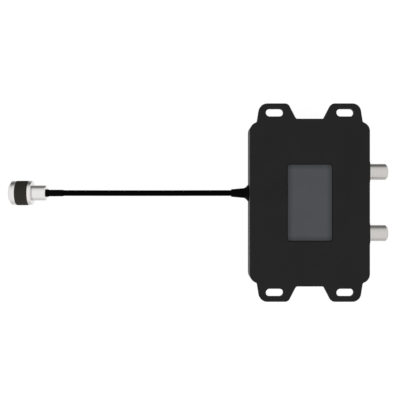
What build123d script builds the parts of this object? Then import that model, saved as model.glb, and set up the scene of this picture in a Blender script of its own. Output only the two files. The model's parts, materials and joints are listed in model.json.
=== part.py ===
from build123d import *
import math
import os

os.makedirs("parts", exist_ok=True)

# Two-way coaxial splitter in a weather case: four slotted ears, a captive pigtail and two threaded ports.
# Millimetres. The case lies as on a bench, with its mounting side up. The origin is the centre of the face
# that it lies on. +X points to the ports, +Y along the long side of the case, +Z out of the mounting side.

# Case: a deep shell, closed by a flat cover that carries the ears
case_width = 69.1
case_height = 92.7
case_depth = 18.0
case_corner = 5.2
case_wall = 2.6
floor_thickness = 2.2
shell_edge = 1.6
cover_thickness = 3.0
seam_chamfer = 0.25

# Ears and the band between them. The band stands out past the case, the ears stand out past the band, and
# the four x values are half-distances from the case's centre line.
band_reach = 1.9
ear_length = 8.8
ear_root_inner = 7.9
ear_root_outer = 30.15
ear_tip_inner = 12.45
ear_tip_outer = 28.75
ear_round_inner = 3.1
ear_round_outer = 5.0
ear_root_round = 1.45
cover_edge = 0.4
slot_length = 10.0
slot_width = 4.4
slot_spacing_x = 40.6
slot_from_tip = 5.3
slot_chamfer = 0.3

# Tongue, groove and flat gasket along the seam
groove_inset = 0.7
groove_width = 1.2
groove_depth = 0.9
tongue_gap = 0.1
tongue_length = 0.4
gasket_gap = 0.05

# Case screws, driven through corner posts of the shell into bosses of the cover
corner_post_radius = 3.6
boss_radius = 3.0
boss_gap = 0.2
boss_seam = 8.0
screw_radius = 1.45
screw_length = 12.0
screw_head_radius = 2.6
screw_head_height = 1.6
screw_pilot_extra = 1.0
screw_hole_gap = 0.2
thread_gap = 0.05
head_pocket_gap = 0.25
head_pocket_depth = 1.8
drive_width = 0.7
drive_share = 0.55

# Blank plate in the cover
plate_width = 25.6
plate_height = 43.9
plate_thickness = 0.65
plate_corner = 1.2
plate_edge = 0.3
recess_depth = 0.8
recess_gap = 0.25
recess_chamfer = 0.3

# Circuit board, screwed down on four posts of the shell
board_lift_share = 0.55
board_thickness = 1.2
board_gap = 0.7
board_gap_left = 3.2
board_corner = 1.5
board_post_x = 21.0
board_post_inset = 3.75
board_post_radius = 2.6
board_screw_radius = 1.1
board_screw_tip = 1.0
board_screw_head_radius = 2.1
board_screw_head_height = 1.3
board_screw_hole_gap = 0.25
board_pilot_extra = 0.2
board_rest_radius = 2.0
board_rest_x = 22.0
board_rest_y = 13.0

# Threaded ports, 3/8 inch across the threads
port_spacing = 35.9
port_thread_radius = 9.525 / 2
port_reach = 12.0
port_chamfer = 1.0
port_relief_radius = 4.5
port_relief_width = 1.0
port_bore_radius = 3.0
port_block_width = 10.4
port_block_depth = 7.9
port_block_height = 8.4
port_block_chamfer = 0.6
port_block_gap = 0.3
port_back_wall = 1.6
port_leg_radius = 0.5
port_leg_pitch_x = 5.0
port_leg_pitch_y = 8.0
leg_reach_share = 0.75
leg_hole_gap = 0.1
insulator_gap = 0.05
insulator_chamfer = 0.2
insulator_recess = 0.4
insulator_face = 1.2
contact_radius = 1.3
contact_bore_radius = 0.6
contact_bore_depth = 8.0
contact_tail_radius = 0.45
contact_tail_bend = 0.9
contact_tail_offset = 1.6
contact_gap = 0.05

# Rubber collars between the ports and the shell: a round neck in the wall and a square pad outside
collar_radius = 5.25
collar_groove_gap = 0.25
collar_gap = 0.05
pad_width = 13.8
pad_tall = 11.6
pad_corner = 3.0
pad_thickness = 1.1
pad_edge = 0.25

# Pigtail cable and its strain relief
pigtail_y = 5.6
cable_radius = 1.7
cable_gap = 0.04
relief_length = 10.35
relief_flange_radius = 4.75
relief_flange_reach = 0.6
relief_cone_radius = 3.42
relief_cone_reach = 1.85
relief_neck_radius = 2.9
relief_neck_reach = 2.9
relief_tip_radius = 2.25
relief_tip_round = 0.35
relief_wall_radius = 3.2
relief_head_radius = 4.3
relief_head_length = 2.0
relief_hole_gap = 0.1

# Free stretch of the cable: it leaves the strain relief level, drops to the surface, and rises to the plug
cable_exit_run = 12.0
cable_drop_run = 21.0
cable_rise_run = 20.0
cable_plug_run = 11.5
cable_bend_share = 0.45

# Cable clamp and the stripped end on the board
clamp_length = 5.0
clamp_offset = 3.2
clamp_radius = 3.1
clamp_board_gap = 0.29
clamp_foot_width = 11.0
clamp_foot_height = 0.8
core_radius = 1.15
core_length = 4.0
core_wire_radius = 0.3
core_wire_run = 2.4
core_wire_bend = 0.8
cable_past_clamp = 1.0

# Plug: lengths run along its axis from the back of the ferrule to the mouth of the nut
plug_height = 7.25
ferrule_back = 119.15
ferrule_radius = 4.5
ferrule_length = 7.9
ferrule_back_wall = 1.2
ferrule_bore_radius = 3.6
ferrule_chamfer = 0.35
ferrule_front_chamfer = 0.1
sleeve_radius = 1.95
sleeve_length = 10.1
sleeve_edge = 0.2
sleeve_rim_radius = 2.25
sleeve_rim_length = 1.6
sleeve_rim_slope = 0.4
nut_start = 8.05
nut_length = 13.4
nut_radius = 7.15
nut_back_wall = 2.0
nut_thread_radius = 4.85
nut_front_chamfer_length = 1.5
nut_front_chamfer_height = 2.05
nut_back_chamfer = 0.3
nut_mouth_chamfer = 0.15
grip_radius = 7.2
grip_groove_depth = 0.6
grip_back_rim = 2.1
grip_length = 7.2
grip_edge = 0.35
grip_gap = 0.04
post_radius = 3.5
post_running_gap = 0.08
post_start = 1.3
post_bore_radius = 2.25
flange_radius = 4.5
flange_start_gap = 0.15
flange_length = 1.25
nose_radius = 3.2
nose_length = 1.0
seal_section_radius = 0.48
seal_gap = 0.04
conductor_radius = 0.5
cable_seat = 2.0
conductor_recess = 2.0
conductor_point = 0.25

# Shielded splitter circuit: the fence stands between the cable's wire and the tails of the port contacts
shield_wire_gap = 0.7
shield_tail_gap = 4.5
shield_height = 42.0
shield_cover_gap = 1.5
shield_sheet = 0.4
shield_y = 3.0
shield_corner = 1.0
lid_skirt = 1.8
lid_gap = 0.05
core_block_length = 6.4
core_block_width = 7.2
core_block_tall = 4.4
core_block_round = 1.8
core_hole_radius = 1.1
core_hole_pitch = 3.6
winding_radius = 0.22
winding_pitch = 0.9
winding_turns = 2
winding_overhang = 0.9
winding_lead = 1.0
winding_bend = 0.7
matching_core_inset = 7.5
matching_core_y = 5.6
splitter_core_inset = 12.5
splitter_core_y = -3.0
resistor_radius = 1.15
resistor_length = 6.3
resistor_round = 0.3
resistor_lead_radius = 0.3
resistor_pitch = 10.2
resistor_inset = 4.5
resistor_lift = 1.5
resistor_bend = 0.8
capacitor_length = 3.2
capacitor_width = 1.6
capacitor_tall = 1.25
capacitor_inset = 11.5
capacitor_pitch = 5.0
capacitor_y = -10.0
capacitor_count = 4

# Tolerances for picking edges and corners by their position
pick_near = 0.01
pick_clear = 1.0

# Levels and edges that follow from the sizes above
half_width = case_width / 2
half_height = case_height / 2
band_half_height = half_height + band_reach
ear_reach = band_half_height + ear_length
slot_spacing_y = 2 * (ear_reach - slot_from_tip)
cavity_width = case_width - 2 * case_wall
cavity_height = case_height - 2 * case_wall
cavity_corner = case_corner - case_wall
cover_start = case_depth - cover_thickness
port_height = cover_start - groove_depth - collar_groove_gap - collar_radius
board_lift = board_lift_share * (port_height - port_bore_radius - board_thickness - floor_thickness)
leg_reach = leg_reach_share * board_lift
board_bottom = floor_thickness + board_lift
board_top = board_bottom + board_thickness
board_screw_length = board_top - board_screw_tip
pigtail_height = board_top + clamp_board_gap + clamp_radius
shield_tall = cover_start - shield_cover_gap - shield_sheet - board_top
port_rows = (("upper", port_spacing / 2), ("lower", -port_spacing / 2))
screw_x = half_width - case_wall - boss_gap - boss_radius
screw_y = half_height - case_wall - boss_gap - boss_radius
screw_places = [(x, y) for x in (-screw_x, screw_x) for y in (-screw_y, screw_y)]
board_half_height = screw_y - corner_post_radius - board_gap
board_post_y = board_half_height - board_post_inset
board_screw_places = [(x, y) for x in (-board_post_x, board_post_x) for y in (-board_post_y, board_post_y)]


def x_cylinder(start, end, y, z, radius, mode=Mode.ADD):
    """Round bar or cut along X between two x positions."""
    with Locations(Location(((start + end) / 2, y, z), (0, 90, 0))):
        Cylinder(radius, abs(end - start), mode=mode)


def seam_ring(inset, width):
    """Closed band that follows the case's outline, set in from it."""
    RectangleRounded(case_width - 2 * inset, case_height - 2 * inset, case_corner - inset)
    inner = inset + width
    RectangleRounded(
        case_width - 2 * inner,
        case_height - 2 * inner,
        case_corner - inner,
        mode=Mode.SUBTRACT,
    )


# Case shell: floor and walls, corner posts, board posts and rests, the seam's groove and the wall's holes
with BuildPart() as case_shell:
    with BuildSketch():
        RectangleRounded(case_width, case_height, case_corner)
    extrude(amount=cover_start)
    fillet(case_shell.faces().sort_by(Axis.Z)[0].edges(), radius=shell_edge)
    chamfer(case_shell.faces().sort_by(Axis.Z)[-1].edges(), length=seam_chamfer)
    with BuildSketch(Plane.XY.offset(floor_thickness)):
        RectangleRounded(cavity_width, cavity_height, cavity_corner)
        with Locations(*screw_places):
            Circle(corner_post_radius, mode=Mode.SUBTRACT)
    extrude(amount=boss_seam - floor_thickness, mode=Mode.SUBTRACT)
    with BuildSketch(Plane.XY.offset(boss_seam)):
        RectangleRounded(cavity_width, cavity_height, cavity_corner)
    extrude(amount=cover_start - boss_seam, mode=Mode.SUBTRACT)
    with BuildSketch(Plane.XY.offset(cover_start - groove_depth)):
        seam_ring(groove_inset, groove_width)
    extrude(amount=groove_depth, mode=Mode.SUBTRACT)
    with BuildSketch(Plane.XY.offset(floor_thickness)):
        with GridLocations(2 * board_rest_x, 2 * board_rest_y, 2, 2):
            Circle(board_rest_radius)
        with Locations(*board_screw_places):
            Circle(board_post_radius)
    extrude(amount=board_lift)
    with BuildSketch(Plane.XY.offset(board_bottom)):
        with Locations(*board_screw_places):
            Circle(board_screw_radius + thread_gap)
    extrude(amount=board_thickness - board_screw_length - board_pilot_extra, mode=Mode.SUBTRACT)
    with BuildSketch():
        with Locations(*screw_places):
            Circle(screw_radius + screw_hole_gap)
    extrude(amount=boss_seam, mode=Mode.SUBTRACT)
    with BuildSketch():
        with Locations(*screw_places):
            Circle(screw_head_radius + head_pocket_gap)
    extrude(amount=head_pocket_depth, mode=Mode.SUBTRACT)
    for port_name, port_y in port_rows:
        x_cylinder(half_width - case_wall, half_width, port_y, port_height, collar_radius, Mode.SUBTRACT)
    hole_radius = relief_wall_radius + relief_hole_gap
    x_cylinder(-half_width, case_wall - half_width, pigtail_y, pigtail_height, hole_radius, Mode.SUBTRACT)
case_shell.part.label = "case_shell"
export_step(case_shell.part, "parts/case_shell.step")

# Mounting cover: a plate with the band and the four ears, the plate's recess, the tongue and four bosses
with BuildPart() as mounting_cover:
    with BuildSketch(Plane.XY.offset(cover_start)):
        RectangleRounded(case_width, case_height, case_corner)
        Rectangle(2 * ear_root_inner, 2 * band_half_height)
        for side in (-1, 1):
            for end in (-1, 1):
                with BuildSketch(mode=Mode.PRIVATE) as ear:
                    slant = (ear_root_outer - ear_tip_outer) / (ear_reach - band_half_height)
                    root_y = half_height - case_corner
                    root_x = ear_root_outer + slant * (band_half_height - root_y)
                    with BuildLine():
                        Polyline(
                            (side * ear_root_inner, end * root_y),
                            (side * ear_root_inner, end * band_half_height),
                            (side * ear_tip_inner, end * ear_reach),
                            (side * ear_tip_outer, end * ear_reach),
                            (side * root_x, end * root_y),
                            close=True,
                        )
                    make_face()
                    tips = ear.vertices().filter_by(lambda v: abs(v.Y) > band_half_height + pick_clear)
                    inner_tips = tips.filter_by(lambda v: abs(v.X) < ear_tip_outer - pick_clear)
                    fillet(inner_tips, radius=ear_round_inner)
                    tips = ear.vertices().filter_by(lambda v: abs(abs(v.X) - ear_tip_outer) < pick_near)
                    fillet(tips, radius=ear_round_outer)
                add(ear.sketch)
    extrude(amount=cover_thickness)
    uprights = mounting_cover.edges().filter_by(Axis.Z)
    inner_roots = uprights.filter_by(
        lambda e: abs(abs(e.center().Y) - band_half_height) < pick_near
        and abs(e.center().X) < ear_tip_inner
    )
    outer_roots = uprights.filter_by(
        lambda e: half_height - case_corner + pick_clear < abs(e.center().Y) < half_height - pick_near
    )
    fillet(inner_roots + outer_roots, radius=ear_root_round)
    fillet(mounting_cover.faces().sort_by(Axis.Z)[-1].edges(), radius=cover_edge)
    with BuildSketch(Plane.XY.offset(boss_seam)):
        with Locations(*screw_places):
            Circle(boss_radius)
    extrude(amount=cover_start - boss_seam)
    with BuildSketch(Plane.XY.offset(cover_start - tongue_length)):
        seam_ring(groove_inset + tongue_gap, groove_width - 2 * tongue_gap)
    extrude(amount=tongue_length)
    with BuildSketch(Plane.XY.offset(boss_seam)):
        with Locations(*screw_places):
            Circle(screw_radius + thread_gap)
    pilot_depth = head_pocket_depth + screw_length - boss_seam + screw_pilot_extra
    extrude(amount=pilot_depth, mode=Mode.SUBTRACT)
    with BuildSketch(Plane.XY.offset(case_depth)):
        RectangleRounded(
            plate_width + 2 * recess_gap,
            plate_height + 2 * recess_gap,
            plate_corner + recess_gap,
        )
    extrude(amount=-recess_depth, mode=Mode.SUBTRACT)
    recess_mouth = mounting_cover.faces().sort_by(Axis.Z)[-1].inner_wires().edges()
    chamfer(recess_mouth, length=recess_chamfer)
    with BuildSketch(Plane.XY.offset(cover_start)):
        with GridLocations(slot_spacing_x, slot_spacing_y, 2, 2):
            SlotOverall(slot_length, slot_width)
    extrude(amount=cover_thickness, mode=Mode.SUBTRACT)
    slot_mouths = mounting_cover.edges().filter_by(
        lambda e: abs(e.center().Z - case_depth) < pick_near
        and abs(abs(e.center().Y) - slot_spacing_y / 2) <= slot_width / 2 + pick_near
        and abs(abs(e.center().X) - slot_spacing_x / 2) <= slot_length / 2
    )
    chamfer(slot_mouths, length=slot_chamfer)
mounting_cover.part.label = "mounting_cover"
export_step(mounting_cover.part, "parts/mounting_cover.step")

# Gasket at the bottom of the groove, under the tongue
with BuildPart() as case_gasket:
    with BuildSketch(Plane.XY.offset(cover_start - groove_depth)):
        seam_ring(groove_inset + gasket_gap, groove_width - 2 * gasket_gap)
    extrude(amount=groove_depth - tongue_length - gasket_gap)
case_gasket.part.label = "case_gasket"
export_step(case_gasket.part, "parts/case_gasket.step")

# Blank plate
with BuildPart() as face_plate:
    with BuildSketch(Plane.XY.offset(case_depth - recess_depth)):
        RectangleRounded(plate_width, plate_height, plate_corner)
    extrude(amount=plate_thickness)
    fillet(face_plate.faces().sort_by(Axis.Z)[-1].edges(), radius=plate_edge)
face_plate.part.label = "face_plate"
export_step(face_plate.part, "parts/face_plate.step")

# Two sets of four screws with a cross recess in each head. The seat is where the shank starts, and the way
# is the sign of Z that the shank points to.
for screw_name, places, seat, way, head_height, head_radius, shank_radius, shank_length in (
    (
        "case_screws",
        screw_places,
        head_pocket_depth,
        1,
        screw_head_height,
        screw_head_radius,
        screw_radius,
        screw_length,
    ),
    (
        "board_screws",
        board_screw_places,
        board_top,
        -1,
        board_screw_head_height,
        board_screw_head_radius,
        board_screw_radius,
        board_screw_length,
    ),
):
    with BuildPart() as screw_set:
        with BuildSketch(Plane.XY.offset(seat)):
            with Locations(*places):
                Circle(head_radius)
        extrude(amount=-way * head_height)
        with BuildSketch(Plane.XY.offset(seat)):
            with Locations(*places):
                Circle(shank_radius)
        extrude(amount=way * shank_length)
        with BuildSketch(Plane.XY.offset(seat - way * head_height)):
            with Locations(*places):
                Rectangle(2 * head_radius * drive_share, drive_width)
                Rectangle(drive_width, 2 * head_radius * drive_share)
        extrude(amount=way * head_height * drive_share, mode=Mode.SUBTRACT)
    screw_set.part.label = screw_name
    export_step(screw_set.part, "parts/" + screw_name + ".step")

# Board: its right edge runs under the port blocks
board_right = half_width - case_wall - board_gap
board_left = case_wall + board_gap_left - half_width
block_front = half_width - case_wall - port_block_gap
block_back = block_front - port_block_depth
leg_x = (block_front + block_back) / 2
tail_x = block_back - contact_tail_offset
leg_places = [
    (leg_x + dx * port_leg_pitch_x / 2, y + dy * port_leg_pitch_y / 2)
    for name, y in port_rows
    for dx in (-1, 1)
    for dy in (-1, 1)
]

with BuildPart() as circuit_board:
    with BuildSketch(Plane.XY.offset(board_bottom)):
        with Locations(((board_left + board_right) / 2, 0)):
            RectangleRounded(board_right - board_left, 2 * board_half_height, board_corner)
        with Locations(*board_screw_places):
            Circle(board_screw_radius + board_screw_hole_gap, mode=Mode.SUBTRACT)
        with Locations(*leg_places):
            Circle(port_leg_radius + leg_hole_gap, mode=Mode.SUBTRACT)
        with Locations(*[(tail_x, y) for name, y in port_rows]):
            Circle(contact_tail_radius + leg_hole_gap, mode=Mode.SUBTRACT)
    extrude(amount=board_thickness)
circuit_board.part.label = "circuit_board"
export_step(circuit_board.part, "parts/circuit_board.step")

# Ports: each has a barrel on a block with four legs, an insulator, a spring contact and a rubber collar
port_tip = half_width + port_reach
relief_start = half_width + pad_thickness
insulator_front = port_tip - insulator_recess
insulator_back = block_back + port_back_wall
contact_front = insulator_front - insulator_face

for port_name, port_y in port_rows:
    with BuildPart() as port_body:
        with BuildSketch(Plane((0, port_y, board_top))):
            with Locations((leg_x, 0)):
                Rectangle(port_block_depth, port_block_width)
        extrude(amount=port_block_height)
        chamfer(port_body.edges().filter_by(Axis.X), length=port_block_chamfer)
        x_cylinder(block_front, port_tip, port_y, port_height, port_thread_radius)
        tip_rim = port_body.faces().sort_by(Axis.X)[-1].edges()
        chamfer(tip_rim, length=port_chamfer)
        with BuildSketch(Plane((0, port_y, port_height))):
            with Locations((relief_start + port_relief_width / 2, port_thread_radius)):
                Rectangle(port_relief_width, 2 * (port_thread_radius - port_relief_radius))
        revolve(axis=Axis((0, port_y, port_height), (1, 0, 0)), mode=Mode.SUBTRACT)
        x_cylinder(insulator_back, port_tip, port_y, port_height, port_bore_radius, Mode.SUBTRACT)
        tail_hole = contact_radius + contact_gap
        x_cylinder(block_back, insulator_back, port_y, port_height, tail_hole, Mode.SUBTRACT)
        with BuildSketch(Plane.XY.offset(board_bottom - leg_reach)):
            with Locations(*[p for p in leg_places if p[1] * port_y > 0]):
                Circle(port_leg_radius)
        extrude(amount=board_thickness + leg_reach)
    port_body.part.label = "port_body_" + port_name
    export_step(port_body.part, "parts/port_body_" + port_name + ".step")

    with BuildPart() as port_insulator:
        radius = port_bore_radius - insulator_gap
        x_cylinder(insulator_back, insulator_front, port_y, port_height, radius)
        chamfer(port_insulator.faces().sort_by(Axis.X)[-1].edges(), length=insulator_chamfer)
        bore = contact_radius + contact_gap
        x_cylinder(insulator_back, contact_front, port_y, port_height, bore, Mode.SUBTRACT)
        x_cylinder(contact_front, insulator_front, port_y, port_height, contact_bore_radius, Mode.SUBTRACT)
    port_insulator.part.label = "port_insulator_" + port_name
    export_step(port_insulator.part, "parts/port_insulator_" + port_name + ".step")

    with BuildPart() as port_contact:
        x_cylinder(block_back, contact_front, port_y, port_height, contact_radius)
        x_cylinder(
            contact_front - contact_bore_depth,
            contact_front,
            port_y,
            port_height,
            contact_bore_radius,
            Mode.SUBTRACT,
        )
        with BuildLine():
            tail = FilletPolyline(
                (block_back, port_y, port_height),
                (tail_x, port_y, port_height),
                (tail_x, port_y, board_bottom - leg_reach),
                radius=contact_tail_bend,
            )
        with BuildSketch(Plane(tail @ 0, z_dir=tail % 0)):
            Circle(contact_tail_radius)
        sweep()
    port_contact.part.label = "port_contact_" + port_name
    export_step(port_contact.part, "parts/port_contact_" + port_name + ".step")

    with BuildPart() as port_collar:
        pad_plane = Plane((half_width, port_y, port_height), x_dir=(0, 1, 0), z_dir=(1, 0, 0))
        with BuildSketch(pad_plane):
            RectangleRounded(pad_width, pad_tall, pad_corner)
        extrude(amount=pad_thickness)
        fillet(port_collar.faces().sort_by(Axis.X)[-1].edges(), radius=pad_edge)
        x_cylinder(block_front, half_width, port_y, port_height, collar_radius - collar_gap)
        bore = port_thread_radius + collar_gap
        x_cylinder(block_front, half_width + pad_thickness, port_y, port_height, bore, Mode.SUBTRACT)
    port_collar.part.label = "port_collar_" + port_name
    export_step(port_collar.part, "parts/port_collar_" + port_name + ".step")

# Strain relief: a flared rubber boot that snaps into the wall
with BuildPart() as strain_relief:
    wall_x = -half_width
    inside_x = wall_x + case_wall
    bore = cable_radius + cable_gap
    with BuildSketch(Plane((0, pigtail_y, pigtail_height))):
        with BuildLine():
            Polyline(
                (wall_x - relief_flange_reach, relief_flange_radius),
                (wall_x, relief_flange_radius),
                (wall_x, relief_wall_radius),
                (inside_x, relief_wall_radius),
                (inside_x, relief_head_radius),
                (inside_x + relief_head_length, relief_head_radius),
                (inside_x + relief_head_length, bore),
                (wall_x - relief_length, bore),
                (wall_x - relief_length, relief_tip_radius - relief_tip_round),
            )
            ThreePointArc(
                (wall_x - relief_length, relief_tip_radius - relief_tip_round),
                (
                    wall_x - relief_length + relief_tip_round * (1 - math.sqrt(0.5)),
                    relief_tip_radius - relief_tip_round * (1 - math.sqrt(0.5)),
                ),
                (wall_x - relief_length + relief_tip_round, relief_tip_radius),
            )
            Line(
                (wall_x - relief_length + relief_tip_round, relief_tip_radius),
                (wall_x - relief_neck_reach, relief_neck_radius),
            )
            ThreePointArc(
                (wall_x - relief_neck_reach, relief_neck_radius),
                (wall_x - relief_cone_reach, relief_cone_radius),
                (wall_x - relief_flange_reach, relief_flange_radius),
            )
        make_face()
    revolve(axis=Axis((0, pigtail_y, pigtail_height), (1, 0, 0)))
strain_relief.part.label = "strain_relief"
export_step(strain_relief.part, "parts/strain_relief.step")

# Free stretch of the cable: straight in plan, down to the surface and up again to the plug
cable_exit = -half_width - relief_length
sleeve_back = -half_width - ferrule_back + sleeve_length
cable_route = [
    (cable_exit, pigtail_height),
    (cable_exit - cable_exit_run, pigtail_height),
    (cable_exit - cable_exit_run - cable_drop_run, cable_radius),
    (sleeve_back + cable_plug_run + cable_rise_run, cable_radius),
    (sleeve_back + cable_plug_run, plug_height),
    (sleeve_back, plug_height),
]
cable_points = [Vector(x, pigtail_y, z) for x, z in cable_route]


def bend_radii(points):
    """Tangent arc at each corner that leaves room for its neighbours."""
    radii = []
    for before, corner, after in zip(points, points[1:], points[2:]):
        run_in = corner - before
        run_out = after - corner
        turn = math.radians(run_in.get_angle(run_out))
        radii.append(cable_bend_share * min(run_in.length, run_out.length) / math.tan(turn / 2))
    return radii


cable_bends = bend_radii(cable_points)
print("cable bend radii", [round(r, 1) for r in cable_bends])
with BuildPart() as pigtail_cable:
    with BuildLine():
        cable_line = FilletPolyline(*cable_points, radius=cable_bends)
    with BuildSketch(Plane(cable_line @ 0, z_dir=cable_line % 0)):
        Circle(cable_radius)
    sweep()
pigtail_cable.part.label = "pigtail_cable"
export_step(pigtail_cable.part, "parts/pigtail_cable.step")
cable_section = math.pi * cable_radius**2
cable_fill = pigtail_cable.part.volume / cable_section / cable_line.length
print("cable length", round(cable_line.length, 2))
print("cable volume over section times length", round(cable_fill, 5))

# Held stretches of the same cable: through the strain relief to the clamp, and inside the plug
clamp_back = case_wall - half_width + clamp_offset
clamp_front = clamp_back + clamp_length
jacket_end = clamp_front + cable_past_clamp
with BuildPart() as cable_tail:
    x_cylinder(cable_exit, jacket_end, pigtail_y, pigtail_height, cable_radius)
cable_tail.part.label = "cable_tail"
export_step(cable_tail.part, "parts/cable_tail.step")

with BuildPart() as cable_core:
    x_cylinder(jacket_end, jacket_end + core_length, pigtail_y, pigtail_height, core_radius)
cable_core.part.label = "cable_core"
export_step(cable_core.part, "parts/cable_core.step")

with BuildPart() as core_wire:
    with BuildLine():
        wire_line = FilletPolyline(
            (jacket_end + core_length, pigtail_y, pigtail_height),
            (jacket_end + core_length + core_wire_run, pigtail_y, pigtail_height),
            (jacket_end + core_length + core_wire_run, pigtail_y, board_top),
            radius=core_wire_bend,
        )
    with BuildSketch(Plane(wire_line @ 0, z_dir=wire_line % 0)):
        Circle(core_wire_radius)
    sweep()
core_wire.part.label = "core_wire"
export_step(core_wire.part, "parts/core_wire.step")

with BuildPart() as cable_clamp:
    with BuildSketch(Plane((clamp_back, pigtail_y, 0), x_dir=(0, 1, 0), z_dir=(1, 0, 0))):
        with Locations((0, (board_top + pigtail_height) / 2)):
            Rectangle(2 * clamp_radius, pigtail_height - board_top)
        with Locations((0, pigtail_height)):
            Circle(clamp_radius)
        with Locations((0, board_top + clamp_foot_height / 2)):
            Rectangle(clamp_foot_width, clamp_foot_height)
        with Locations((0, pigtail_height)):
            Circle(cable_radius + cable_gap, mode=Mode.SUBTRACT)
    extrude(amount=clamp_length)
cable_clamp.part.label = "cable_clamp"
export_step(cable_clamp.part, "parts/cable_clamp.step")


# Plug: it lies on the same surface as the case, and its axis runs along X
def plug_x(distance):
    """Position along X of a point this far in front of the ferrule's back face."""
    return -half_width - ferrule_back - distance


plug_plane = Plane((0, pigtail_y, plug_height))
plug_axis = Axis((0, pigtail_y, plug_height), (1, 0, 0))
nut_back = plug_x(nut_start)
nut_front = plug_x(nut_start + nut_length)
flange_back = nut_start + nut_back_wall + flange_start_gap
flange_front = flange_back + flange_length
nose_front = flange_front + nose_length

with BuildPart() as cable_end:
    x_cylinder(sleeve_back, plug_x(cable_seat), pigtail_y, plug_height, cable_radius)
cable_end.part.label = "cable_end"
export_step(cable_end.part, "parts/cable_end.step")

with BuildPart() as plug_sleeve:
    bore = cable_radius + cable_gap
    rim_back = plug_x(-sleeve_rim_length)
    with BuildSketch(plug_plane):
        with BuildLine():
            Polyline(
                (sleeve_back, bore),
                (sleeve_back, sleeve_radius - sleeve_edge),
                (sleeve_back - sleeve_edge, sleeve_radius),
                (rim_back, sleeve_radius),
                (rim_back - sleeve_rim_slope, sleeve_rim_radius),
                (plug_x(0), sleeve_rim_radius),
                (plug_x(0), bore),
                close=True,
            )
        make_face()
    revolve(axis=plug_axis)
plug_sleeve.part.label = "plug_sleeve"
export_step(plug_sleeve.part, "parts/plug_sleeve.step")

with BuildPart() as plug_ferrule:
    x_cylinder(plug_x(0), plug_x(ferrule_length), pigtail_y, plug_height, ferrule_radius)
    ferrule_rims = plug_ferrule.edges().filter_by(GeomType.CIRCLE).sort_by(Axis.X)
    chamfer(ferrule_rims[-1], length=ferrule_chamfer)
    chamfer(ferrule_rims[0], length=ferrule_front_chamfer)
    x_cylinder(
        plug_x(0),
        plug_x(ferrule_back_wall),
        pigtail_y,
        plug_height,
        cable_radius + cable_gap,
        Mode.SUBTRACT,
    )
    x_cylinder(
        plug_x(ferrule_back_wall),
        plug_x(ferrule_length),
        pigtail_y,
        plug_height,
        ferrule_bore_radius,
        Mode.SUBTRACT,
    )
plug_ferrule.part.label = "plug_ferrule"
export_step(plug_ferrule.part, "parts/plug_ferrule.step")

with BuildPart() as plug_post:
    with BuildSketch(plug_plane):
        with BuildLine():
            Polyline(
                (plug_x(post_start), post_bore_radius),
                (plug_x(post_start), post_radius),
                (plug_x(flange_back), post_radius),
                (plug_x(flange_back), flange_radius),
                (plug_x(flange_front), flange_radius),
                (plug_x(flange_front), nose_radius),
                (plug_x(nose_front), nose_radius),
                (plug_x(nose_front), post_bore_radius),
                close=True,
            )
        make_face()
    revolve(axis=plug_axis)
plug_post.part.label = "plug_post"
export_step(plug_post.part, "parts/plug_post.step")

with BuildPart() as plug_insulator:
    radius = post_bore_radius - insulator_gap
    x_cylinder(plug_x(cable_seat), plug_x(nose_front), pigtail_y, plug_height, radius)
    bore = conductor_radius + insulator_gap
    x_cylinder(plug_x(cable_seat), plug_x(nose_front), pigtail_y, plug_height, bore, Mode.SUBTRACT)
plug_insulator.part.label = "plug_insulator"
export_step(plug_insulator.part, "parts/plug_insulator.step")

with BuildPart() as plug_conductor:
    tip = plug_x(nut_start + nut_length - conductor_recess)
    x_cylinder(plug_x(cable_seat), tip, pigtail_y, plug_height, conductor_radius)
    chamfer(plug_conductor.faces().sort_by(Axis.X)[0].edges(), length=conductor_point)
plug_conductor.part.label = "plug_conductor"
export_step(plug_conductor.part, "parts/plug_conductor.step")

with BuildPart() as plug_seal:
    ring_x = plug_x(flange_front + seal_gap + seal_section_radius)
    ring_radius = nose_radius + seal_gap + seal_section_radius
    with BuildSketch(plug_plane):
        with Locations((ring_x, ring_radius)):
            Circle(seal_section_radius)
    revolve(axis=plug_axis)
plug_seal.part.label = "plug_seal"
export_step(plug_seal.part, "parts/plug_seal.step")

grip_back = plug_x(nut_start + grip_back_rim)
grip_front = plug_x(nut_start + grip_back_rim + grip_length)
groove_radius = nut_radius - grip_groove_depth

with BuildPart() as coupling_nut:
    opening = post_radius + post_running_gap
    with BuildSketch(plug_plane):
        with BuildLine():
            Polyline(
                (nut_back, opening),
                (nut_back, nut_radius - nut_back_chamfer),
                (nut_back - nut_back_chamfer, nut_radius),
                (grip_back, nut_radius),
                (grip_back, groove_radius),
                (grip_front, groove_radius),
                (grip_front, nut_radius),
                (nut_front + nut_front_chamfer_length, nut_radius),
                (nut_front, nut_radius - nut_front_chamfer_height),
                (nut_front, nut_thread_radius + nut_mouth_chamfer),
                (nut_front + nut_mouth_chamfer, nut_thread_radius),
                (nut_back - nut_back_wall, nut_thread_radius),
                (nut_back - nut_back_wall, opening),
                close=True,
            )
        make_face()
    revolve(axis=plug_axis)
coupling_nut.part.label = "coupling_nut"
export_step(coupling_nut.part, "parts/coupling_nut.step")

with BuildPart() as nut_grip:
    x_cylinder(grip_back - grip_gap, grip_front + grip_gap, pigtail_y, plug_height, grip_radius)
    fillet(nut_grip.edges().filter_by(GeomType.CIRCLE), radius=grip_edge)
    x_cylinder(
        grip_back - grip_gap,
        grip_front + grip_gap,
        pigtail_y,
        plug_height,
        groove_radius + grip_gap,
        Mode.SUBTRACT,
    )
nut_grip.part.label = "nut_grip"
export_step(nut_grip.part, "parts/nut_grip.step")

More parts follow.
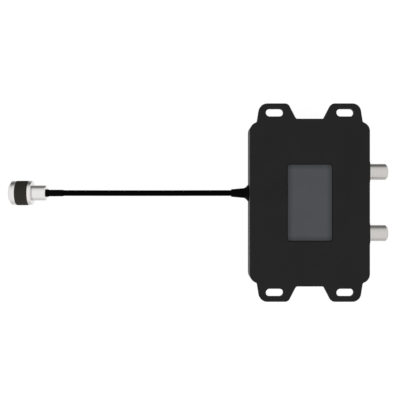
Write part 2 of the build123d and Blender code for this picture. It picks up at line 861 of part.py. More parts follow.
# Shield: a fence on the board and a lid with a skirt around it
shield_left = jacket_end + core_length + core_wire_run + shield_wire_gap
shield_right = tail_x - shield_tail_gap
shield_width = shield_right - shield_left
shield_x = (shield_left + shield_right) / 2
with BuildPart() as shield_frame:
    with BuildSketch(Plane((shield_x, shield_y, board_top))):
        RectangleRounded(shield_width, shield_height, shield_corner)
        offset(amount=-shield_sheet, mode=Mode.SUBTRACT)
    extrude(amount=shield_tall)
shield_frame.part.label = "shield_frame"
export_step(shield_frame.part, "parts/shield_frame.step")

with BuildPart() as shield_lid:
    reach = 2 * (shield_sheet + lid_gap)
    with BuildSketch(Plane((shield_x, shield_y, board_top + shield_tall - lid_skirt))):
        RectangleRounded(shield_width + reach, shield_height + reach, shield_corner + reach / 2)
    extrude(amount=lid_skirt + shield_sheet)
    with BuildSketch(Plane((shield_x, shield_y, board_top + shield_tall - lid_skirt))):
        RectangleRounded(shield_width + 2 * lid_gap, shield_height + 2 * lid_gap, shield_corner + lid_gap)
    extrude(amount=lid_skirt, mode=Mode.SUBTRACT)
shield_lid.part.label = "shield_lid"
export_step(shield_lid.part, "parts/shield_lid.step")

# Transformers: two-hole ferrite cores, each with a short winding through both holes
for transformer, core_x, core_y in (
    ("matching", shield_left + matching_core_inset, matching_core_y),
    ("splitter", shield_right - splitter_core_inset, splitter_core_y),
):
    core_level = board_top + core_block_tall / 2
    core_end = core_block_length / 2
    with BuildPart() as ferrite_core:
        with BuildSketch(Plane((core_x - core_end, core_y, core_level), x_dir=(0, 1, 0), z_dir=(1, 0, 0))):
            RectangleRounded(core_block_width, core_block_tall, core_block_round)
            with GridLocations(core_hole_pitch, 0, 2, 1):
                Circle(core_hole_radius, mode=Mode.SUBTRACT)
        extrude(amount=core_block_length)
    ferrite_core.part.label = transformer + "_core"
    export_step(ferrite_core.part, "parts/" + transformer + "_core.step")

    # Each turn goes out through one hole and back through the other, and climbs one pitch on its way round.
    hole = core_hole_pitch / 2
    near = core_x + core_end + winding_overhang
    far = core_x - core_end - winding_overhang
    lead = near + winding_lead
    first = core_level - winding_pitch * (winding_turns - 1) / 2
    points = [(lead, core_y + hole, board_top), (lead, core_y + hole, first)]
    for turn in range(winding_turns):
        level = first + turn * winding_pitch
        if turn > 0:
            points.append((near, core_y + hole, level))
        points.append((far, core_y + hole, level))
        points.append((far, core_y - hole, level))
        if turn < winding_turns - 1:
            points.append((near, core_y - hole, level))
    points.append((lead, core_y - hole, level))
    points.append((lead, core_y - hole, board_top))
    with BuildPart() as winding:
        with BuildLine():
            winding_line = FilletPolyline(*points, radius=winding_bend)
        with BuildSketch(Plane(winding_line @ 0, z_dir=winding_line % 0)):
            Circle(winding_radius)
        sweep()
    winding.part.label = transformer + "_winding"
    export_step(winding.part, "parts/" + transformer + "_winding.step")
    print(transformer, "winding, least gap between turns", round(winding_pitch - 2 * winding_radius, 2))

# Balance resistor between the two outputs
resistor_x = shield_right - resistor_inset
with BuildPart() as balance_resistor:
    resistor_level = board_top + resistor_lift
    with Locations(Location((resistor_x, splitter_core_y, resistor_level), (90, 0, 0))):
        Cylinder(resistor_radius, resistor_length)
    fillet(balance_resistor.edges().filter_by(GeomType.CIRCLE), radius=resistor_round)
    for side in (-1, 1):
        with BuildLine():
            lead_line = FilletPolyline(
                (resistor_x, splitter_core_y + side * resistor_length / 2, resistor_level),
                (resistor_x, splitter_core_y + side * resistor_pitch / 2, resistor_level),
                (resistor_x, splitter_core_y + side * resistor_pitch / 2, board_top),
                radius=resistor_bend,
            )
        with BuildSketch(Plane(lead_line @ 0, z_dir=lead_line % 0)):
            Circle(resistor_lead_radius)
        sweep(path=lead_line)
balance_resistor.part.label = "balance_resistor"
export_step(balance_resistor.part, "parts/balance_resistor.step")

# Coupling capacitors in a row
with BuildPart() as capacitors:
    with BuildSketch(Plane((shield_left + capacitor_inset, capacitor_y, board_top))):
        with GridLocations(capacitor_pitch, 0, capacitor_count, 1):
            Rectangle(capacitor_width, capacitor_length)
    extrude(amount=capacitor_tall)
capacitors.part.label = "capacitors"
export_step(capacitors.part, "parts/capacitors.step")
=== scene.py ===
import json
import math

import bmesh
import bpy
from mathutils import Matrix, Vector


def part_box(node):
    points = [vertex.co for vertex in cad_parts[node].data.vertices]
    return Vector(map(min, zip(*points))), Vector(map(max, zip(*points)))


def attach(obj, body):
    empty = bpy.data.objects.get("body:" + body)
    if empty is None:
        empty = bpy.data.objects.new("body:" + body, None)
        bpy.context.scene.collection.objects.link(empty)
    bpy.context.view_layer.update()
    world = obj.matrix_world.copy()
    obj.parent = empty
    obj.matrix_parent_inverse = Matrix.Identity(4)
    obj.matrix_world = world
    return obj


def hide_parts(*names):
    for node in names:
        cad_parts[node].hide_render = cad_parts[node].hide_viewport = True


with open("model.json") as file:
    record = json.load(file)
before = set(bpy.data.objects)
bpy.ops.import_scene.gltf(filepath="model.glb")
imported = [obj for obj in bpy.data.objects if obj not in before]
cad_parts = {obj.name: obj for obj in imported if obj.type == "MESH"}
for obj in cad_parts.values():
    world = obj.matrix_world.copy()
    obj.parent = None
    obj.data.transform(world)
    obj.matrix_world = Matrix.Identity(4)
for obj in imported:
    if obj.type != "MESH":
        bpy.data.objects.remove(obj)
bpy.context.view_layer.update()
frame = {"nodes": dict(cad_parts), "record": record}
nodes = frame["nodes"]
MM = 0.001


# Camera: straight above the scene, with the long side of the case upright in the picture
CAMERA_PLACE = (-0.06315, 0.0015, 0.420)
CAMERA_LENS = 63.0
CAMERA_SENSOR = 36.0
CAMERA_NEAR = 0.01
camera_data = bpy.data.cameras.new("camera")
camera_data.lens = CAMERA_LENS
camera_data.sensor_width = CAMERA_SENSOR
camera_data.clip_start = CAMERA_NEAR
camera = bpy.data.objects.new("camera", camera_data)
camera.location = CAMERA_PLACE
bpy.context.scene.collection.objects.link(camera)
bpy.context.scene.camera = camera


# Free stretch of the pigtail cable, by its points in X and Z
CABLE_RADIUS = 1.7 * MM
CABLE_ORDER = 3
CABLE_STEPS = 24
CABLE_ROUNDNESS = 8
PIGTAIL_Y = 5.6 * MM
CABLE_ROUTE = [
    (-0.0449, 0.0080),
    (-0.0569, 0.0080),
    (-0.0779, 0.0017),
    (-0.1121, 0.0017),
    (-0.1321, 0.00725),
    (-0.1436, 0.00725),
]


def make_cable():
    """The cable between the strain relief and the plug, on one smooth curve."""
    curve = bpy.data.curves.new("free_cable", "CURVE")
    curve.dimensions = "3D"
    spline = curve.splines.new("NURBS")
    spline.points.add(len(CABLE_ROUTE) - 1)
    for point, (x, z) in zip(spline.points, CABLE_ROUTE):
        point.co = (x, PIGTAIL_Y, z, 1)
    spline.order_u = CABLE_ORDER
    spline.use_endpoint_u = True
    curve.resolution_u = CABLE_STEPS
    curve.bevel_depth = CABLE_RADIUS
    curve.bevel_resolution = CABLE_ROUNDNESS
    curve.use_fill_caps = True
    cable = bpy.data.objects.new("free_cable", curve)
    bpy.context.scene.collection.objects.link(cable)
    return cable


cable = make_cable()


# Helpers for materials. Nearly all of a noise lies between NOISE_LOW and NOISE_HIGH.
NOISE_LOW = 0.3
NOISE_HIGH = 0.7
BLACK = (0.0, 0.0, 0.0)
WHITE = (1.0, 1.0, 1.0)


def start_material(name):
    """A material with its shader, and coordinates in metres in the object's frame."""
    material = bpy.data.materials.new(name)
    material.use_nodes = True
    tree = material.node_tree
    shader = tree.nodes["Principled BSDF"]
    place = tree.nodes.new("ShaderNodeTexCoord").outputs["Object"]
    return material, tree, shader, place


def fill(tree, socket, value):
    """Gives an input its value: another node's output, a colour or a number."""
    if isinstance(value, bpy.types.NodeSocket):
        tree.links.new(value, socket)
    elif isinstance(value, tuple):
        socket.default_value = (*value, 1)
    else:
        socket.default_value = value


def add_noise(tree, place, scale, stretch=(1, 1, 1), detail=2.0):
    """Noise on the object's coordinates, stretched along its axes, from 0 to 1."""
    mapping = tree.nodes.new("ShaderNodeMapping")
    mapping.inputs["Scale"].default_value = stretch
    tree.links.new(place, mapping.inputs["Vector"])
    noise = tree.nodes.new("ShaderNodeTexNoise")
    noise.inputs["Scale"].default_value = scale
    noise.inputs["Detail"].default_value = detail
    tree.links.new(mapping.outputs["Vector"], noise.inputs["Vector"])
    return noise.outputs["Fac"]


def add_range(tree, value, low, high, start=NOISE_LOW, end=NOISE_HIGH):
    """The value from start to end turned into low to high."""
    node = tree.nodes.new("ShaderNodeMapRange")
    node.inputs["From Min"].default_value = start
    node.inputs["From Max"].default_value = end
    node.inputs["To Min"].default_value = low
    node.inputs["To Max"].default_value = high
    tree.links.new(value, node.inputs["Value"])
    return node.outputs["Result"]


def add_math(tree, operation, first, second=0.0):
    """A Math node on two outputs or numbers."""
    node = tree.nodes.new("ShaderNodeMath")
    node.operation = operation
    fill(tree, node.inputs[0], first)
    fill(tree, node.inputs[1], second)
    return node.outputs[0]


def mix_colours(tree, factor, first, second):
    """The first colour at factor 0 and the second at factor 1."""
    mix = tree.nodes.new("ShaderNodeMix")
    mix.data_type = "RGBA"
    fill(tree, mix.inputs["A"], first)
    fill(tree, mix.inputs["B"], second)
    tree.links.new(factor, mix.inputs["Factor"])
    return mix.outputs["Result"]


def add_split(tree, vector):
    """The X, Y and Z of a vector."""
    split = tree.nodes.new("ShaderNodeSeparateXYZ")
    tree.links.new(vector, split.inputs["Vector"])
    return split.outputs


def add_bump(tree, shader, height, distance):
    """Fine relief on the shader's normal."""
    bump = tree.nodes.new("ShaderNodeBump")
    bump.inputs["Distance"].default_value = distance
    tree.links.new(height, bump.inputs["Height"])
    tree.links.new(bump.outputs["Normal"], shader.inputs["Normal"])


def scaled(colour, factor):
    return tuple(channel * factor for channel in colour)


def grey(level):
    return (level, level, level)


# Wear: WEAR_TURN is the cosine between the rounded and the true normal, at full wear and at none
WEAR_REACH = 0.25 * MM
WEAR_SAMPLES = 4
WEAR_TURN = (0.85, 0.99)
WEAR_PATCH_SCALE = 420.0
WEAR_PATCH_LEAST = 0.35


def add_wear(tree, place, strength):
    """Patchy wear along the edges, from 0 on open faces to the strength."""
    bevel = tree.nodes.new("ShaderNodeBevel")
    bevel.samples = WEAR_SAMPLES
    bevel.inputs["Radius"].default_value = WEAR_REACH
    turn = tree.nodes.new("ShaderNodeVectorMath")
    turn.operation = "DOT_PRODUCT"
    tree.links.new(bevel.outputs["Normal"], turn.inputs[0])
    tree.links.new(tree.nodes.new("ShaderNodeNewGeometry").outputs["Normal"], turn.inputs[1])
    edges = add_range(tree, turn.outputs["Value"], strength, 0.0, *WEAR_TURN)
    patches = add_range(tree, add_noise(tree, place, WEAR_PATCH_SCALE), WEAR_PATCH_LEAST, 1.0)
    return add_math(tree, "MULTIPLY", edges, patches)


# Plastics and rubbers
MOULD_CLOUD_SCALE = 60.0
MOULD_GLOSS_SPREAD = 0.06
# Edge colour factor: partly rubbed wear, partly a painted sheen on the edges
RUBBED_WEAR_AND_SHEEN = 1.8
RUBBED_GLOSS = 0.15


def moulded(name, colour, roughness, specular, grain, relief, mottle=0.08, wear=0.4):
    """Moulded plastic or rubber: a fine grain, slight colour drift, uneven gloss, and edges lighter
    from rubbing and a painted sheen.
    """
    material, tree, shader, place = start_material(name)
    cloud = add_noise(tree, place, MOULD_CLOUD_SCALE, detail=3.0)
    fine = add_noise(tree, place, grain, detail=3.0)
    drift = add_range(tree, cloud, 0.0, 1.0)
    colours = mix_colours(tree, drift, scaled(colour, 1 - mottle), scaled(colour, 1 + mottle))
    gloss = add_range(tree, fine, roughness - MOULD_GLOSS_SPREAD, roughness + MOULD_GLOSS_SPREAD)
    if wear > 0:
        rubbed_wear_and_sheen = add_wear(tree, place, wear)
        # Lighter edges: partly rubbed wear, partly a painted sheen
        colours = mix_colours(tree, rubbed_wear_and_sheen, colours, scaled(colour, RUBBED_WEAR_AND_SHEEN))
        gloss = add_math(tree, "SUBTRACT", gloss, add_math(tree, "MULTIPLY", rubbed_wear_and_sheen, RUBBED_GLOSS))
    tree.links.new(colours, shader.inputs["Base Color"])
    tree.links.new(gloss, shader.inputs["Roughness"])
    shader.inputs["Specular IOR Level"].default_value = specular
    add_bump(tree, shader, fine, relief)
    return material


# Painted shade on the plate: how far in from the rim it reaches, and how dark it is at the rim
PLATE_PAINTED_SHADE_REACH = 3.2 * MM
PLATE_PAINTED_RIM_SHADE = 0.54


def plate_material(name, colour):
    """The blank plate: satin, with painted shade that darkens it towards its rim."""
    material = moulded(
        name,
        colour,
        roughness=0.45,
        specular=0.2,
        grain=3400.0,
        relief=0.012 * MM,
        mottle=0.04,
        wear=0.0,
    )
    tree = material.node_tree
    shader = tree.nodes["Principled BSDF"]
    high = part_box("face_plate")[1]
    place = add_split(tree, tree.nodes.new("ShaderNodeTexCoord").outputs["Object"])
    across = add_math(tree, "ABSOLUTE", place["X"])
    along = add_math(tree, "ABSOLUTE", place["Y"])
    # Painted shade: the colour darkens over the last few millimetres to each side and end, most at the
    # corners
    side = add_range(tree, across, 1.0, PLATE_PAINTED_RIM_SHADE, high.x - PLATE_PAINTED_SHADE_REACH, high.x)
    end = add_range(tree, along, 1.0, PLATE_PAINTED_RIM_SHADE, high.y - PLATE_PAINTED_SHADE_REACH, high.y)
    lit = add_math(tree, "MULTIPLY", side, end)
    painted_shade = add_range(tree, lit, 1.0, 0.0, 0.0, 1.0)
    colours = shader.inputs["Base Color"].links[0].from_socket
    painted_shade_colours = mix_colours(tree, painted_shade, colours, BLACK)
    tree.links.new(painted_shade_colours, shader.inputs["Base Color"])
    return material


# Metals: FACED is the share of the normal along the axis where an end face begins and is full
RING_SCALE = 9000.0
RING_STRETCH = 0.02
RING_GLOSS = (-0.03, 0.05)
STAIN_SCALE = 180.0
DULLED_SHADE = 0.8
DULLED_GLOSS = 0.1
FACED = (0.9, 0.98)
FACED_GLOSS = 0.1


def turned(name, colour, roughness, axis=0, relief=0.004 * MM, mottle=0.05, wear=0.5):
    """Plated metal turned about an axis: fine rings, a faint stain, and duller edges and end faces."""
    material, tree, shader, place = start_material(name)
    stretch = [RING_STRETCH] * 3
    stretch[axis] = 1.0
    rings = add_noise(tree, place, RING_SCALE, stretch, detail=1.0)
    cloud = add_noise(tree, place, STAIN_SCALE, detail=3.0)
    drift = add_range(tree, cloud, 0.0, 1.0)
    colours = mix_colours(tree, drift, scaled(colour, 1 - mottle), colour)
    gloss = add_range(tree, rings, roughness + RING_GLOSS[0], roughness + RING_GLOSS[1])
    dulled = add_wear(tree, place, wear)
    colours = mix_colours(tree, dulled, colours, scaled(colour, DULLED_SHADE))
    gloss = add_math(tree, "ADD", gloss, add_math(tree, "MULTIPLY", dulled, DULLED_GLOSS))
    normal = add_split(tree, tree.nodes.new("ShaderNodeNewGeometry").outputs["Normal"])
    facing = add_math(tree, "ABSOLUTE", normal[axis])
    gloss = add_math(tree, "ADD", gloss, add_range(tree, facing, 0.0, FACED_GLOSS, *FACED))
    tree.links.new(colours, shader.inputs["Base Color"])
    tree.links.new(gloss, shader.inputs["Roughness"])
    shader.inputs["Metallic"].default_value = 1.0
    add_bump(tree, shader, rings, relief)
    return material


# Circuit board
MASK_GREEN = (0.012, 0.085, 0.032)
MASK_OVER_COPPER = (0.03, 0.16, 0.062)
COPPER_FIELD_SCALE = 220.0
COPPER_FIELD_EDGE = (0.50, 0.52)
BOARD_ROUGHNESS = 0.35
WEAVE_SCALE = 2500.0
WEAVE_RELIEF = 0.01 * MM


def board_material(name):
    """Green laminate with a faint weave and paler copper fields under the mask."""
    material, tree, shader, place = start_material(name)
    fields = add_noise(tree, place, COPPER_FIELD_SCALE, detail=0.0)
    step = add_range(tree, fields, 0.0, 1.0, *COPPER_FIELD_EDGE)
    colours = mix_colours(tree, step, MASK_GREEN, MASK_OVER_COPPER)
    tree.links.new(colours, shader.inputs["Base Color"])
    shader.inputs["Roughness"].default_value = BOARD_ROUGHNESS
    weave = tree.nodes.new("ShaderNodeTexChecker")
    weave.inputs["Scale"].default_value = WEAVE_SCALE
    tree.links.new(place, weave.inputs["Vector"])
    add_bump(tree, shader, weave.outputs["Fac"], WEAVE_RELIEF)
    return material


# Materials by slot. moulded: colour, roughness, specular, grain, relief, mottle and wear.
# turned: colour, roughness and what differs from a plain part turned about X.
CASE_BLACK = (0.0112, 0.0112, 0.0112)
PLATE_GREY = (0.0637, 0.0677, 0.0752)
RUBBER_BLACK = (0.001, 0.001, 0.001)
JACKET_BLACK = (0.0006, 0.0006, 0.0006)
GRIP_BLACK = (0.0225, 0.0204, 0.0161)
PORT_NICKEL = (0.625, 0.608, 0.583)
PLUG_NICKEL = (0.825, 0.81, 0.805)
SCREW_STEEL = (0.55, 0.56, 0.58)
TINNED_STEEL = (0.68, 0.69, 0.70)
CONTACT_BRASS = (0.78, 0.60, 0.28)
WIRE_COPPER = (0.74, 0.38, 0.22)
INSULATOR_WHITE = (0.72, 0.70, 0.66)
FERRITE_GREY = (0.07, 0.07, 0.075)
RESISTOR_BLUE = (0.32, 0.45, 0.55)
CAPACITOR_BROWN = (0.50, 0.38, 0.24)

materials = {
    "case_plastic": moulded("case_plastic", CASE_BLACK, 0.5, 0.12, 2600.0, 0.02 * MM),
    "plate_plastic": plate_material("plate_plastic", PLATE_GREY),
    "seal_rubber": moulded("seal_rubber", RUBBER_BLACK, 0.7, 0.04, 2200.0, 0.02 * MM, 0.15),
    "relief_rubber": moulded("relief_rubber", RUBBER_BLACK, 0.6, 0.03, 1800.0, 0.02 * MM, 0.15),
    "cable_jacket": moulded("cable_jacket", JACKET_BLACK, 0.5, 0.02, 1500.0, 0.02 * MM, 0.15, 0.0),
    "grip_rubber": moulded("grip_rubber", GRIP_BLACK, 0.6, 0.15, 2400.0, 0.02 * MM, 0.1),
    "port_nickel": turned("port_nickel", PORT_NICKEL, 0.2, mottle=0.03, wear=0.2),
    "plug_nickel": turned("plug_nickel", PLUG_NICKEL, 0.16, mottle=0.03, wear=0.25),
    "screw_steel": turned("screw_steel", SCREW_STEEL, 0.35, axis=2, mottle=0.12),
    "tinned_steel": turned("tinned_steel", TINNED_STEEL, 0.4, axis=2, mottle=0.12),
    "contact_brass": turned("contact_brass", CONTACT_BRASS, 0.25, mottle=0.1),
    "copper": turned("copper", WIRE_COPPER, 0.3, mottle=0.15),
    "insulator_white": moulded("insulator_white", INSULATOR_WHITE, 0.4, 0.4, 900.0, 0.01 * MM, 0.03),
    "board_laminate": board_material("board_laminate"),
    "ferrite": moulded("ferrite", FERRITE_GREY, 0.75, 0.3, 5000.0, 0.03 * MM, 0.15),
    "resistor_body": moulded("resistor_body", RESISTOR_BLUE, 0.4, 0.4, 700.0, 0.01 * MM, 0.05),
    "capacitor_body": moulded("capacitor_body", CAPACITOR_BROWN, 0.5, 0.4, 2500.0, 0.01 * MM, 0.1),
}

for subpart in frame["record"]["subparts"]:
    mesh = nodes[subpart["node"]].data
    mesh.materials.clear()
    mesh.materials.append(materials[subpart["material_slot"]])


# Helpers for turned meshes
SHARP_ANGLE = math.radians(40)
NUT_SHARP_ANGLE = math.radians(30)
SAME_PLACE = 1e-7
SAME_RADIUS = 1e-6


def add_piece(name, bm, slot, body, sharp=SHARP_ANGLE):
    """A new mesh object with its material, riding on a body."""
    bmesh.ops.recalc_face_normals(bm, faces=bm.faces)
    mesh = bpy.data.meshes.new(name)
    bm.to_mesh(mesh)
    bm.free()
    mesh.materials.append(materials[slot])
    piece = bpy.data.objects.new(name, mesh)
    bpy.context.scene.collection.objects.link(piece)
    mesh.shade_smooth()
    mesh.set_sharp_from_angle(angle=sharp)
    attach(piece, body)
    return piece


def add_turned(bm, outline, centre, columns, radius_at):
    """A closed outline of (x, radius) swept about an axis along X. radius_at changes it by angle."""
    centre_y, centre_z = centre
    rows = []
    for x, radius in outline:
        row = []
        for column in range(columns):
            angle = 2 * math.pi * column / columns
            reach = radius_at(x, radius, angle)
            place = (x, centre_y + reach * math.cos(angle), centre_z + reach * math.sin(angle))
            row.append(bm.verts.new(place))
        rows.append(row)
    for lower, upper in zip(rows, rows[1:] + rows[:1]):
        for column in range(columns):
            ahead = (column + 1) % columns
            bm.faces.new((lower[column], lower[ahead], upper[ahead], upper[column]))


def axis_of(low, high):
    """The Y and Z of the axis through the middle of a box."""
    return (low.y + high.y) / 2, (low.z + high.z) / 2


def spaced(start, end, step):
    """Places from start to end, evenly spaced by about the step."""
    count = max(1, round(abs(end - start) / step))
    return [start + (end - start) * i / count for i in range(count + 1)]


def share_of(part, whole):
    """How far the part reaches into the whole, held between 0 and 1."""
    return min(1.0, max(0.0, part / whole))


# Threads: 32 to the inch with a rounded form. They are shallow on the ports, which look smooth.
THREAD_PITCH = 25.4 / 32 * MM
PORT_THREAD_HEIGHT = 0.07 * MM
NUT_THREAD_HEIGHT = 0.3 * MM
THREAD_FADE = 0.5 * MM
THREAD_STEPS = 10
THREAD_COLUMNS = 120


def thread_depth(x, angle):
    """How far the thread's flank lies below its crest here, from 0 to 1."""
    return 0.5 - 0.5 * math.cos(2 * math.pi * x / THREAD_PITCH - angle)


# Ports: the barrel outside the case gets its thread, and the rest of the body is the frame's
PORT_CHAMFER = 1.0 * MM
PORT_THREAD_RADIUS = 9.525 / 2 * MM
PORT_BORE_RADIUS = 3.0 * MM
PORT_BORE_CHAMFER = 0.25 * MM
PORT_LAND_WIDTH = 1.0 * MM
PORT_LAND_RADIUS = 4.7 * MM
PORT_LAND_END = 0.3 * MM


def make_port(row):
    node = nodes["port_body_" + row]
    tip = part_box("port_body_" + row)[1].x
    pad_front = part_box("port_collar_" + row)[1].x
    thread_start = pad_front + PORT_LAND_WIDTH

    def radius_at(x, radius, angle):
        if radius < PORT_THREAD_RADIUS:
            return radius
        fade = share_of(x - thread_start, THREAD_FADE)
        crest = min(PORT_THREAD_RADIUS, PORT_THREAD_RADIUS - PORT_CHAMFER + (tip - x))
        root = PORT_THREAD_RADIUS - PORT_THREAD_HEIGHT * fade * thread_depth(x, angle)
        return min(crest, root)

    bm = bmesh.new()
    bm.from_mesh(node.data)
    bmesh.ops.remove_doubles(bm, verts=bm.verts, dist=SAME_PLACE)
    everything = bm.verts[:] + bm.edges[:] + bm.faces[:]
    cut = bmesh.ops.bisect_plane(
        bm,
        geom=everything,
        dist=SAME_PLACE,
        plane_co=(pad_front, 0, 0),
        plane_no=(1, 0, 0),
        clear_outer=True,
    )
    rim = [e for e in cut["geom_cut"] if isinstance(e, bmesh.types.BMEdge)]
    bmesh.ops.bridge_loops(bm, edges=rim)
    outline = [
        (pad_front, PORT_LAND_RADIUS),
        (thread_start - PORT_LAND_END, PORT_LAND_RADIUS),
    ]
    for x in spaced(thread_start, tip, THREAD_PITCH / THREAD_STEPS):
        outline.append((x, PORT_THREAD_RADIUS))
    outline += [
        (tip, PORT_BORE_RADIUS + PORT_BORE_CHAMFER),
        (tip - PORT_BORE_CHAMFER, PORT_BORE_RADIUS),
        (pad_front, PORT_BORE_RADIUS),
    ]
    centre = axis_of(*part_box("port_insulator_" + row))
    add_turned(bm, outline, centre, THREAD_COLUMNS, radius_at)
    port = add_piece("port_barrel_" + row, bm, "port_nickel", "root")
    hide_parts(node.name)


for row in ("upper", "lower"):
    make_port(row)


# Coupling nut: the outside as in the frame, a thread in its bore and a low boss around the ferrule
NUT_BACK_WALL = 2.0 * MM
NUT_OPENING = 3.58 * MM
NUT_THREAD_RADIUS = 4.85 * MM
NUT_CHAMFER_LENGTH = 1.5 * MM
NUT_CHAMFER_HEIGHT = 2.05 * MM
NUT_BACK_CHAMFER = 0.3 * MM
NUT_SHOULDER = 0.12 * MM
NUT_MOUTH = 0.15 * MM
NUT_GROOVE_DEPTH = 0.6 * MM
NUT_BOSS_LENGTH = 0.11 * MM
NUT_BOSS_RADIUS = 4.4 * MM
GRIP_GAP = 0.04 * MM


def make_nut():
    low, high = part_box("coupling_nut")
    front, back = low.x, high.x
    radius = (high.y - low.y) / 2
    groove = radius - NUT_GROOVE_DEPTH
    grip_low, grip_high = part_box("nut_grip")
    groove_front = grip_low.x - GRIP_GAP
    groove_back = grip_high.x + GRIP_GAP
    bore_end = back - NUT_BACK_WALL

    def radius_at(x, reach, angle):
        if abs(reach - NUT_THREAD_RADIUS) > SAME_RADIUS:
            return reach
        fade = min(share_of(x - front - NUT_MOUTH, THREAD_FADE), share_of(bore_end - x, THREAD_FADE))
        return reach + NUT_THREAD_HEIGHT * fade * thread_depth(x, angle)

    outline = [
        (back + NUT_BOSS_LENGTH, NUT_OPENING),
        (back + NUT_BOSS_LENGTH, NUT_BOSS_RADIUS),
        (back, NUT_BOSS_RADIUS),
        (back, radius - NUT_BACK_CHAMFER),
        (back - NUT_SHOULDER, radius - NUT_SHOULDER),
        (back - NUT_BACK_CHAMFER, radius),
        (groove_back + NUT_SHOULDER, radius),
        (groove_back, radius - NUT_SHOULDER),
        (groove_back, groove),
        (groove_front, groove),
        (groove_front, radius - NUT_SHOULDER),
        (groove_front - NUT_SHOULDER, radius),
        (front + NUT_CHAMFER_LENGTH + NUT_SHOULDER, radius),
        (front + NUT_CHAMFER_LENGTH, radius - NUT_SHOULDER / 2),
        (front + NUT_SHOULDER, radius - NUT_CHAMFER_HEIGHT + NUT_SHOULDER),
        (front, radius - NUT_CHAMFER_HEIGHT),
        (front, NUT_THREAD_RADIUS + NUT_MOUTH),
    ]
    for x in spaced(front + NUT_MOUTH, bore_end, THREAD_PITCH / THREAD_STEPS):
        outline.append((x, NUT_THREAD_RADIUS))
    outline.append((bore_end, NUT_OPENING))
    bm = bmesh.new()
    add_turned(bm, outline, axis_of(low, high), THREAD_COLUMNS, radius_at)
    nut = add_piece("nut_shell", bm, "plug_nickel", "nut", sharp=NUT_SHARP_ANGLE)
    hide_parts("coupling_nut")
    return nut


# Grip band: fine ribs along the axis between two plain rounded borders
GRIP_RIBS = 72
COLUMNS_PER_RIB = 6
GRIP_RIB_DEPTH = 0.13 * MM
GRIP_BORDER = 0.75 * MM
GRIP_EDGE = 0.35 * MM
GRIP_CORNER_STEPS = 4
GRIP_FADE_STEPS = 3


def make_grip():
    nut_low, nut_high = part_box("coupling_nut")
    inner = (nut_high.y - nut_low.y) / 2 - NUT_GROOVE_DEPTH + GRIP_GAP
    low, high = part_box("nut_grip")
    front, back = low.x, high.x
    radius = (high.y - low.y) / 2

    def radius_at(x, reach, angle):
        if reach < radius - SAME_RADIUS:
            return reach
        share = share_of(min(x - front, back - x) - GRIP_BORDER, GRIP_EDGE)
        rib = math.cos(angle * GRIP_RIBS)
        return reach - GRIP_RIB_DEPTH * share * (0.5 - 0.5 * rib)

    def corner(end, inward):
        """A rounded edge, from the crown to the end face."""
        points = []
        for i in range(GRIP_CORNER_STEPS + 1):
            turn = math.pi / 2 * i / GRIP_CORNER_STEPS
            along = end + inward * GRIP_EDGE * (1 - math.sin(turn))
            points.append((along, radius - GRIP_EDGE * (1 - math.cos(turn))))
        return points

    fade = GRIP_EDGE / GRIP_FADE_STEPS
    outline = [(front, inner)] + corner(front, 1)[::-1]
    for x in spaced(front + GRIP_BORDER, front + GRIP_BORDER + GRIP_EDGE, fade):
        outline.append((x, radius))
    for x in spaced(back - GRIP_BORDER - GRIP_EDGE, back - GRIP_BORDER, fade):
        outline.append((x, radius))
    outline += corner(back, -1) + [(back, inner)]
    bm = bmesh.new()
    add_turned(bm, outline, axis_of(nut_low, nut_high), GRIP_RIBS * COLUMNS_PER_RIB, radius_at)
    grip = add_piece("grip_band", bm, "grip_rubber", "nut")
    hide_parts("nut_grip")
    return grip


nut_shell = make_nut()
grip_band = make_grip()

# The cable rides on the case
cable.data.materials.append(materials["cable_jacket"])
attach(cable, "root")
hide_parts("pigtail_cable")


# Floor: white to the camera, pale to the lamps, with a trace of the object's shadow
FLOOR_HALF = 3.0
FLOOR_DROP = 0.05 * MM
FLOOR_PAINT = 0.9
FLOOR_ROUGHNESS = 0.9
FLOOR_SHADOW = 0.12
FLOOR_WHITE = 1.08


def make_floor():
    bm = bmesh.new()
    bmesh.ops.create_grid(bm, x_segments=1, y_segments=1, size=FLOOR_HALF)
    mesh = bpy.data.meshes.new("floor")
    bm.to_mesh(mesh)
    bm.free()
    floor = bpy.data.objects.new("floor", mesh)
    floor.location.z = -FLOOR_DROP
    floor.visible_glossy = False
    bpy.context.scene.collection.objects.link(floor)
    material = bpy.data.materials.new("floor")
    material.use_nodes = True
    tree = material.node_tree
    shader = tree.nodes["Principled BSDF"]
    shader.inputs["Base Color"].default_value = (*grey(FLOOR_PAINT), 1)
    shader.inputs["Roughness"].default_value = FLOOR_ROUGHNESS
    shader.inputs["Specular IOR Level"].default_value = 0.0
    white = tree.nodes.new("ShaderNodeEmission")
    white.inputs["Strength"].default_value = FLOOR_WHITE
    share = add_math(tree, "MULTIPLY", add_seen(tree), 1 - FLOOR_SHADOW)
    mix = tree.nodes.new("ShaderNodeMixShader")
    tree.links.new(share, mix.inputs["Fac"])
    tree.links.new(shader.outputs["BSDF"], mix.inputs[1])
    tree.links.new(white.outputs["Emission"], mix.inputs[2])
    tree.links.new(mix.outputs["Shader"], tree.nodes["Material Output"].inputs["Surface"])
    mesh.materials.append(material)


def add_seen(tree):
    """1 for rays that show the background: from the camera, a mirror or glass."""
    path = tree.nodes.new("ShaderNodeLightPath").outputs
    total = add_math(tree, "MAXIMUM", path["Is Camera Ray"], path["Is Glossy Ray"])
    return add_math(tree, "MAXIMUM", total, path["Is Transmission Ray"])


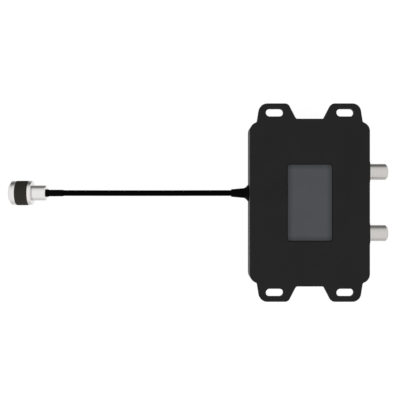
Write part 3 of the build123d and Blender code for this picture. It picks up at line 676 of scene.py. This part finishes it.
# World: white to the camera, even light on the object, and a studio that only the reflections show.
# Its brightness goes by height, darker beyond the +Y side of the table, with a pale card at each
# end of X. Each stop is a height from -1 to 1 and a brightness.
WORLD_LIGHT = 0.55
BACK_REACH = (-0.2, 0.6)
BACK_STOPS = (
    (-1.0, 0.44),
    (-0.62, 0.3),
    (-0.2, 0.1),
    (0.14, 0.38),
    (0.44, 0.78),
    (0.7, 0.93),
    (1.0, 1.0),
)
NEAR_STOPS = (
    (-1.0, 1.25),
    (-0.93, 1.2),
    (-0.86, 0.88),
    (-0.8, 0.82),
    (-0.37, 0.70),
    (0.0, 0.79),
    (0.34, 0.97),
    (1.0, 1.0),
)
CARD_REACH = (0.55, 0.72)
CARD_LEVEL = 0.93
SPARE_STOP = 0.5


def add_ramp(tree, height, stops):
    """Grey by height, from the stops."""
    share = add_range(tree, height, 0.0, 1.0, -1.0, 1.0)
    ramp = tree.nodes.new("ShaderNodeValToRGB")
    elements = ramp.color_ramp.elements
    while len(elements) < len(stops):
        elements.new(SPARE_STOP)
    for element, (place, level) in zip(elements, stops):
        element.position = (place + 1) / 2
        element.color = (*grey(level), 1)
    tree.links.new(share, ramp.inputs["Fac"])
    return ramp.outputs["Color"]


def make_world():
    world = bpy.data.worlds.new("studio")
    bpy.context.scene.world = world
    world.use_nodes = True
    tree = world.node_tree
    direction = add_split(tree, tree.nodes.new("ShaderNodeTexCoord").outputs["Generated"])
    near = add_ramp(tree, direction["Z"], NEAR_STOPS)
    back = add_ramp(tree, direction["Z"], BACK_STOPS)
    behind = add_range(tree, direction["Y"], 0.0, 1.0, *BACK_REACH)
    studio = mix_colours(tree, behind, near, back)
    aside = add_math(tree, "ABSOLUTE", direction["X"])
    beside = add_range(tree, aside, 0.0, 1.0, *CARD_REACH)
    carded = mix_colours(tree, beside, studio, grey(CARD_LEVEL))
    path = tree.nodes.new("ShaderNodeLightPath").outputs
    lit = mix_colours(tree, path["Is Glossy Ray"], grey(WORLD_LIGHT), carded)
    clear = add_math(tree, "MAXIMUM", path["Is Camera Ray"], path["Is Transmission Ray"])
    shown = mix_colours(tree, clear, lit, WHITE)
    tree.links.new(shown, tree.nodes["Background"].inputs["Color"])


# Lamps, hidden from reflections: name, place and power
LAMP_TARGET = (-0.06, 0.0, 0.0)
LAMP_SIZE = 0.8
LAMPS = (
    ("key_lamp", (-0.9, -0.6, 1.0), 9.0),
    ("fill_lamp", (0.8, -0.5, 1.1), 5.0),
)


def add_lamp(name, place, power):
    """A soft square lamp that points at the object."""
    light = bpy.data.lights.new(name, "AREA")
    light.shape = "SQUARE"
    light.size = LAMP_SIZE
    light.energy = power
    lamp = bpy.data.objects.new(name, light)
    lamp.location = place
    aim = Vector(LAMP_TARGET) - Vector(place)
    lamp.rotation_euler = aim.to_track_quat("-Z", "Y").to_euler()
    lamp.visible_glossy = False
    bpy.context.scene.collection.objects.link(lamp)


make_floor()
make_world()
for lamp in LAMPS:
    add_lamp(*lamp)

bpy.context.scene.view_settings.view_transform = "Standard"
